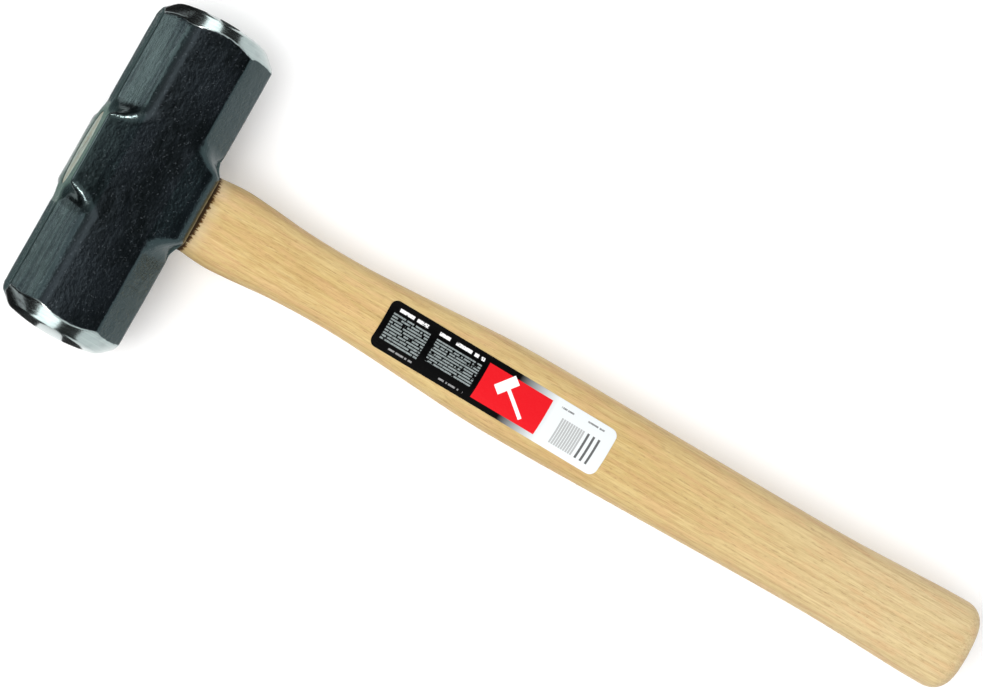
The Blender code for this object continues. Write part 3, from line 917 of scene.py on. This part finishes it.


def wood_material():
    """Straight-grained hickory under thin varnish, stained where it meets the head."""
    material, n, shader = new_material("hickory")
    place = n.place()
    x, y, z = n.separate(place)
    wander = n.noise(place, (0.006, 0.012, 0.012), 1.0, 0.4, 3.0)
    across = n.math("MULTIPLY_ADD", z, 0.37, n.times(y, 0.93))
    across = n.math("MULTIPLY_ADD", x, 0.012, across)
    across = n.math("MULTIPLY_ADD", wander, 9.0, across)
    uneven = n.noise(n.combine(0.0, across, 0.0), (1.0, 0.22, 1.0), 1.0, 0.5, 8.0)
    rings = n.math("MULTIPLY_ADD", across, 0.42, n.times(uneven, 2.5))
    rings = n.math("FRACT", rings)
    early = n.times(n.span(rings, 0.0, 0.55, 1.0, 0.0), n.span(rings, 0.93, 1.0, 1.0, 0.0))

    fibres = n.noise(place, (0.022, 1.5, 1.5), 3.0, 0.6, 15.0)
    hairs = n.noise(place, (0.16, 3.2, 3.2), 2.0, 0.6, 27.0)
    broad = n.noise(place, (0.010, 0.13, 0.13), 2.0, 0.5, 33.0)
    pores = n.noise(place, (0.34, 2.9, 2.9), 2.0, 0.55, 39.0)
    pore_mask = n.times(n.span(pores, 0.56, 0.68), n.math("MULTIPLY_ADD", early, 0.6, 0.4))

    colour = n.mix(n.span(broad, 0.35, 0.65), WOOD_LIGHT, WOOD_MIDDLE)
    colour = n.mix(n.span(x, 200.0, 350.0, 0.0, 0.75), colour, WOOD_PALE)
    colour = n.mix(n.times(early, 0.2), colour, WOOD_DARK)
    colour = n.mix(n.span(fibres, 0.4, 0.7, 0.0, 0.33), colour, WOOD_DARK)
    colour = n.mix(n.span(fibres, 0.3, 0.42, 0.5, 0.0), colour, WOOD_GLINT)
    blush = n.noise(place, (0.06, 0.3, 0.3), 3.0, 0.6, 57.0)
    colour = n.mix(n.span(blush, 0.45, 0.65, 0.0, 0.4), colour, WOOD_BLUSH)
    colour = n.mix(n.span(blush, 0.35, 0.5, 0.25, 0.0), colour, WOOD_GLINT)
    colour = n.mix(n.span(hairs, 0.5, 0.72, 0.0, 0.34), colour, WOOD_DARK)
    colour = n.mix(n.span(hairs, 0.28, 0.44, 0.3, 0.0), colour, WOOD_GLINT)
    colour = n.mix(n.times(pore_mask, 0.42), colour, WOOD_PORE)

    past = n.minus(x, SHOULDER)
    teeth = n.noise(place, (0.12, 1.8, 1.8), 3.0, 0.7, 45.0)
    tooth = n.span(teeth, 0.3, 0.7, 1.3, 3.6, False)
    stain = n.span(n.minus(tooth, past), -0.25, 0.5)
    stain_colour = n.mix(n.span(past, 1.2, 3.0), WOOD_BURNT, WOOD_STAIN)
    pale = n.times(n.span(past, 1.0, 9.0, 0.55, 0.0), n.span(broad, 0.35, 0.6))
    colour = n.mix(pale, colour, WOOD_FRESH)
    colour = n.mix(n.times(stain, 0.97), colour, stain_colour)
    # Painted shade: the sides of the handle, which face neither up nor down, are darkened.
    normal = n.separate(n.add("ShaderNodeTexCoord").outputs["Normal"])
    facing = n.math("ABSOLUTE", normal[2])
    colour = n.mix(n.span(facing, 0.45, 0.98, 0.9, 0.0), colour, WOOD_SIDE_SHADE, "MULTIPLY")
    at_end = n.span(x, HANDLE_TOP + 0.1, HANDLE_TOP + 0.4, 1.0, 0.0)
    vessels = n.noise(place, (0.1, 1.6, 1.6), 3.0, 0.6, 51.0)
    end_grain = n.mix(n.span(vessels, 0.45, 0.6), WOOD_END, WOOD_VESSEL)
    colour = n.mix(at_end, colour, end_grain)

    height = n.plus(n.times(hairs, 0.5), n.times(fibres, 0.8))
    height = n.minus(height, n.times(pore_mask, 0.8))
    n.fill(shader, {
        "Base Color": colour,
        "Roughness": n.span(fibres, 0.3, 0.7, 0.42, 0.58, False),
        "Specular IOR Level": n.span(stain, 0.0, 1.0, 0.4, 0.04),
        "Normal": n.bump(height, 0.00008),
    })
    return material


def wedge_wood_material():
    """Open-grained softwood, darker where the saw left it rough."""
    material, n, shader = new_material("wedge_wood")
    place = n.place()
    fibres = n.noise(place, (0.08, 1.2, 3.0), 3.0, 0.6, 4.0)
    colour = n.mix(n.span(fibres, 0.3, 0.7), (0.33, 0.33, 0.26), (0.22, 0.20, 0.14))
    n.fill(shader, {
        "Base Color": colour,
        "Roughness": n.span(fibres, 0.3, 0.7, 0.55, 0.75, False),
        "Normal": n.bump(fibres, 0.0002),
    })
    return material


def wedge_steel_material():
    """Mill-finished steel with brighter spots where it was struck."""
    material, n, shader = new_material("wedge_steel")
    place = n.place()
    mill = n.noise(place, (0.4, 2.0, 2.0), 3.0, 0.6, 6.0)
    blows = n.noise(place, (0.3, 0.45, 0.45), 2.0, 0.5, 12.0)
    colour = n.mix(n.span(mill, 0.3, 0.7), (0.34, 0.35, 0.36), (0.58, 0.59, 0.6))
    colour = n.mix(n.span(blows, 0.5, 0.65), colour, (0.72, 0.73, 0.74))
    n.fill(shader, {
        "Base Color": colour,
        "Metallic": 1.0,
        "Roughness": n.span(mill, 0.3, 0.7, 0.25, 0.45, False),
        "Normal": n.bump(mill, 0.00006),
    })
    return material


# The label's artwork: boxes of (u from, u to, v from, v to), u along the label from
# its end by the head and v across it from its upper edge.
PANEL_START, PANEL_END = 44.0, 72.4
FADE_START, FADE_END = 57.0, 74.4
HEADINGS = ((4.2, 16.8, 2.1, 3.5), (21.7, 41.7, 2.0, 3.4))
TEXT_BLOCKS = ((2.6, 18.8, 4.6, 16.1, 1.15), (21.7, 41.7, 4.8, 14.7, 1.1))
SMALL_LINES = ((7.8, 18.1, 17.3, 18.0), (29.4, 40.7, 17.2, 17.9))
CODE_DASHES = ((76.6, 82.1, 2.5, 3.2), (88.3, 95.7, 2.1, 2.8))
# Stripes: their box, then their pitch, the share of it that is inked, and the ink.
STRIPES = (
    ((78.8, 89.3, 6.3, 16.9), 1.06, 0.68, 0.42),
    ((90.4, 96.2, 6.3, 16.9), 2.4, 0.36, 0.12),
)
SIGN_LEAN = math.radians(38)  # of the plain hammer on the panel
SIGN_HANDLE = (-5.5, 8.4, -0.75, 0.75)
SIGN_HEAD = (-7.6, -3.6, -4.6, 4.6)
LABEL_BLACK = (0.0015, 0.0016, 0.0017)
LABEL_WHITE = (0.72, 0.75, 0.755)
LABEL_RED = (0.68, 0.012, 0.018)
HEADING_INK = (0.8, 0.8, 0.8)
TEXT_INK = (0.27, 0.31, 0.31)
SMALL_INK = (0.4, 0.4, 0.4)
SIGN_INK = (0.86, 0.86, 0.86)
CODE_INK = (0.05, 0.05, 0.05)


def label_material():
    """Glossy printed film: greeked text, a red panel and a block of plain stripes."""
    material, n, shader = new_material("label_print")
    place = n.place()
    x, y, _ = n.separate(place)
    from_middle = n.minus(x, LABEL_X), n.minus(y, LABEL_Y)
    along, aside = n.turned(*from_middle, LABEL_SLANT)
    u = n.plus(along, LABEL_LENGTH / 2)
    v = n.minus(LABEL_WIDTH / 2, aside)

    def box(u_from, u_to, v_from, v_to, axes=(u, v)):
        """1 inside a box of the artwork, with a soft edge."""
        sides = []
        for value, low, high in ((axes[0], u_from, u_to), (axes[1], v_from, v_to)):
            offset = n.math("ABSOLUTE", n.minus(value, (low + high) / 2))
            sides.append(n.span(offset, (high - low) / 2 - 0.06, (high - low) / 2 + 0.06, 1.0, 0.0))
        return n.times(*sides)

    def lettering(pitch, weight):
        """Runs of marks with gaps like words, different on every line."""
        line = n.math("FLOOR", n.math("DIVIDE", v, pitch))
        words = n.noise(n.combine(u, line, 0.0), (0.8, 3.7, 1.0), 0.0, 0.5, 3.0)
        letters = n.noise(n.combine(u, n.times(v, 2.0), line), (3.2, 1.0, 3.1), 1.0, 0.5, 7.0)
        return n.times(n.span(words, 0.32, 0.38), n.span(letters, 0.36, 0.5, 0.45, weight))

    fade = n.span(u, FADE_START, FADE_END, 0.0, 1.0, False)
    ground = n.mix(fade, LABEL_BLACK, LABEL_WHITE)
    for heading in HEADINGS:
        strokes = n.noise(n.combine(u, v, 0.0), (1.7, 0.9, 1.0), 1.0, 0.5, 12.0)
        gaps = n.noise(n.combine(u, 0.0, 0.0), (0.42, 1.0, 1.0), 0.0, 0.5, 14.0)
        letters = n.times(n.span(strokes, 0.36, 0.44, 0.15, 1.0), n.span(gaps, 0.34, 0.38))
        ground = n.mix(n.times(box(*heading), letters), ground, HEADING_INK)
    for u_from, u_to, v_from, v_to, pitch in TEXT_BLOCKS:
        row = n.math("FRACT", n.math("DIVIDE", n.minus(v, v_from), pitch))
        rows = n.times(n.span(row, 0.05, 0.2), n.span(row, 0.6, 0.8, 1.0, 0.0))
        block = n.times(box(u_from, u_to, v_from, v_to), rows)
        ground = n.mix(n.times(block, lettering(pitch, 1.0)), ground, TEXT_INK)
    for line in SMALL_LINES:
        ground = n.mix(n.times(box(*line), lettering(3.0, 0.7)), ground, SMALL_INK)
    ground = n.mix(box(PANEL_START, PANEL_END, 2.4, 17.4), ground, LABEL_RED)

    # A plain hammer in white, leaning, in the middle of the red panel.
    from_u = n.minus(u, (PANEL_START + PANEL_END) / 2)
    from_v = n.minus(v, LABEL_WIDTH / 2 + 0.2)
    axes = n.turned(from_u, from_v, SIGN_LEAN)
    sign = n.math("MAXIMUM", box(*SIGN_HANDLE, axes), box(*SIGN_HEAD, axes))
    ground = n.mix(sign, ground, SIGN_INK)

    for dash in CODE_DASHES:
        ground = n.mix(n.times(box(*dash), lettering(4.0, 0.8)), ground, CODE_INK)
    for stripes, pitch, covered, ink in STRIPES:
        phase = n.math("FRACT", n.math("DIVIDE", n.minus(u, stripes[0]), pitch))
        bars = n.times(box(*stripes), n.span(phase, covered, covered + 0.1, 1.0, 0.0))
        ground = n.mix(bars, ground, (ink, ink * 1.02, ink * 1.02))

    scuffs = n.noise(place, (0.3, 0.5, 0.5), 3.0, 0.6, 19.0)
    n.fill(shader, {
        "Base Color": ground,
        "Roughness": n.span(scuffs, 0.3, 0.7, 0.2, 0.34, False),
        "Specular IOR Level": 0.04,
        "Normal": n.bump(scuffs, 0.00005),
    })
    return material


def floor_material():
    """Pale studio paper with a barely visible tooth."""
    material, n, shader = new_material("studio_paper")
    place = n.place()
    tooth = n.noise(place, (0.02, 0.02, 0.02), 3.0, 0.5, 2.0)
    n.fill(shader, {
        "Base Color": n.mix(tooth, (0.93, 0.93, 0.93), (0.95, 0.95, 0.95)),
        "Roughness": n.span(tooth, 0.3, 0.7, 0.85, 0.95, False),
        "Specular IOR Level": 0.0,
        "Emission Color": WHITE,
        "Emission Strength": FLOOR_GLOW,
    })
    return material


# --------------------------------------------------------------------- stage


def make_floor():
    """A wide round floor."""
    turns = np.arange(FLOOR_SIDES) * 2 * math.pi / FLOOR_SIDES
    circle = np.stack([np.cos(turns), np.sin(turns), np.zeros(FLOOR_SIDES)], axis=-1)
    points = np.concatenate([radius * circle for radius in FLOOR_RINGS])
    faces = tube_faces(len(FLOOR_RINGS), FLOOR_SIDES) + [tuple(range(FLOOR_SIDES))]
    floor = make_object("floor", points, faces)
    face_outwards(floor)
    return floor


def make_world():
    """An even soft sky with a dim patch overhead and a darker wall over -X."""
    world = bpy.data.worlds.new("studio")
    world.use_nodes = True
    bpy.context.scene.world = world
    n = Nodes(world.node_tree)
    direction = n.add("ShaderNodeTexCoord").outputs["Generated"]
    to_x, _, height = n.separate(direction)
    inputs = {0: direction, 1: DIM_CENTRE.normalized()}
    toward = n.add("ShaderNodeVectorMath", inputs, operation="DOT_PRODUCT").outputs["Value"]
    patch = n.span(toward, math.cos(DIM_OUTER), math.cos(DIM_INNER))
    over_side = n.span(to_x, -0.6, -0.2, 1.0, 0.0)
    wall = n.times(over_side, n.span(height, 0.08, 0.3, 0.0, SIDE_SHADE))
    sky = n.span(patch, 0.0, 1.0, SKY_GLOW, DIM_GLOW, False)
    sky = n.times(sky, n.minus(1.0, wall))
    colour = n.mix(patch, WHITE, DIM_TINT)
    n.fill(world.node_tree.nodes["Background"], {"Color": colour, "Strength": sky})


def make_card(name, corners, material):
    """A flat card beside the head that only reflections can see."""
    card = make_object(name, corners, [(0, 1, 2, 3)])
    card.data.materials.append(material)
    card.visible_camera = False
    card.visible_diffuse = False
    card.visible_shadow = False
    card.visible_transmission = False
    card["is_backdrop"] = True


def upright(start, end, high=CARD_HEIGHT):
    """Corners of a card that stands on the floor between two points."""
    return [(*start, 1.0), (*end, 1.0), (*end, high), (*start, high)]


def lying(x_from, x_to, y_from, y_to):
    """Corners of a card that lies just over the floor."""
    corners = ((x_from, y_from), (x_to, y_from), (x_to, y_to), (x_from, y_to))
    return [(x, y, CARD_LIFT) for x, y in corners]


def card_material(name, glow):
    """Plain glow that mirrors nothing."""
    material, n, shader = new_material(name)
    n.fill(shader, {
        "Base Color": (0.0, 0.0, 0.0),
        "Specular IOR Level": 0.0,
        "Emission Color": glow,
        "Emission Strength": 1.0,
    })
    return material


def make_cards():
    """Dark flags round the head, a lit gap off each striking face, and a strip of light."""
    black = card_material("flag_black", FLAG_BLACK)
    grey = card_material("flag_grey", FLAG_GREY)
    green = card_material("flag_green", FLAG_GREEN)
    lit = card_material("lit_gap", (CARD_GLOW,) * 3)
    strip = card_material("strip", (STRIP_GLOW,) * 3)
    face = HEAD_LENGTH / 2
    for name, side, upright_at, lying_at in CARD_STRIPS:
        y = side * (face + CARD_DISTANCE)
        flag_from, gap_from, gap_to, flag_to = upright_at
        make_card("flag_left_" + name, upright((flag_from, y), (gap_from, y)), black)
        make_card("gap_" + name, upright((gap_from, y), (gap_to, y)), lit)
        make_card("flag_right_" + name, upright((gap_to, y), (flag_to, y)), black)
        corner = (FLAG_END, y - side * FLAG_RETURN)
        make_card("flag_corner_" + name, upright(corner, (flag_from, y)), black)
        beyond = sorted((side * (face + 1.0), y))
        flag_from, gap_from, gap_to, flag_to = lying_at
        make_card("flag_low_left_" + name, lying(flag_from, gap_from, *beyond), black)
        make_card("flag_low_right_" + name, lying(gap_to, flag_to, *beyond), black)
        beside = sorted((side * EYE_FLAG_SIDE, side * face))
        make_card("flag_top_" + name, lying(FLAG_END, TOP_FLAG_X, *beside), grey)
        notch = sorted(side * edge for edge in NOTCH_FLAG_Y)
        make_card("flag_notch_" + name, lying(*NOTCH_FLAG_X, *notch), grey)
    make_card("flag_eye", lying(FLAG_END, EYE_FLAG_X, -EYE_FLAG_SIDE, EYE_FLAG_SIDE), green)
    start, end = (STRIP_X, STRIP_FROM), (STRIP_X, STRIP_TO)
    make_card("strip_side", upright(start, end, STRIP_HEIGHT), strip)


def add_light(name, place, size, power, diffuse, colour):
    """A square area light that faces the hammer."""
    data = bpy.data.lights.new(name, "AREA")
    data.size = size
    data.energy = power
    data.color = colour
    light = bpy.data.objects.new(name, data)
    bpy.context.scene.collection.objects.link(light)
    light.location = place
    light.rotation_euler = (LIGHT_AIM - Vector(place)).to_track_quat("-Z", "Y").to_euler()
    light.visible_diffuse = diffuse
    light.visible_glossy = not diffuse


def add_camera():
    """The camera looks down on the upper cheek, a little from the top and one end."""
    tilt_x, tilt_y = math.sin(CAMERA_TILT_X), math.sin(CAMERA_TILT_Y)
    away = Vector((-tilt_x, -tilt_y, math.sqrt(1 - tilt_x**2 - tilt_y**2)))
    place = Vector((0.0, 0.0, AXIS_Z)) + away * CAMERA_DISTANCE
    forward = (CAMERA_AIM - place).normalized()
    right = forward.cross(Vector((0.0, 1.0, 0.0))).normalized()
    up = right.cross(forward)
    c, s = math.cos(CAMERA_ROLL), math.sin(CAMERA_ROLL)
    turned_right, turned_up = c * right + s * up, c * up - s * right
    data = bpy.data.cameras.new("camera")
    data.lens = CAMERA_LENS
    data.sensor_width = 36.0
    camera = bpy.data.objects.new("camera", data)
    bpy.context.scene.collection.objects.link(camera)
    axes = Matrix((turned_right, turned_up, -forward)).transposed()
    camera.matrix_world = Matrix.Translation(place * MM) @ axes.to_4x4()
    bpy.context.scene.camera = camera


def dress(piece, material, node):
    """Give a piece its material and let it stand for its CAD node."""
    piece.data.materials.clear()
    piece.data.materials.append(material)
    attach(piece, "root")
    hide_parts(node)


add_camera()
make_world()
make_cards()
for light in LIGHTS:
    add_light(*light)

dress(make_head(), head_material(), "head")
dress(make_handle(), wood_material(), "handle")
dress(make_wood_wedge(), wedge_wood_material(), "wood_wedge")
dress(make_steel_wedge(), wedge_steel_material(), "steel_wedge")
dress(make_label(), label_material(), "label")

floor = make_floor()
floor.data.materials.append(floor_material())
floor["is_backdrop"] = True
bpy.context.scene.view_settings.view_transform = "Standard"

boxes = {"cad": CAD_BOUNDS, "visual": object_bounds()}
{key: [list(corner) for corner in box] for key, box in boxes.items()}
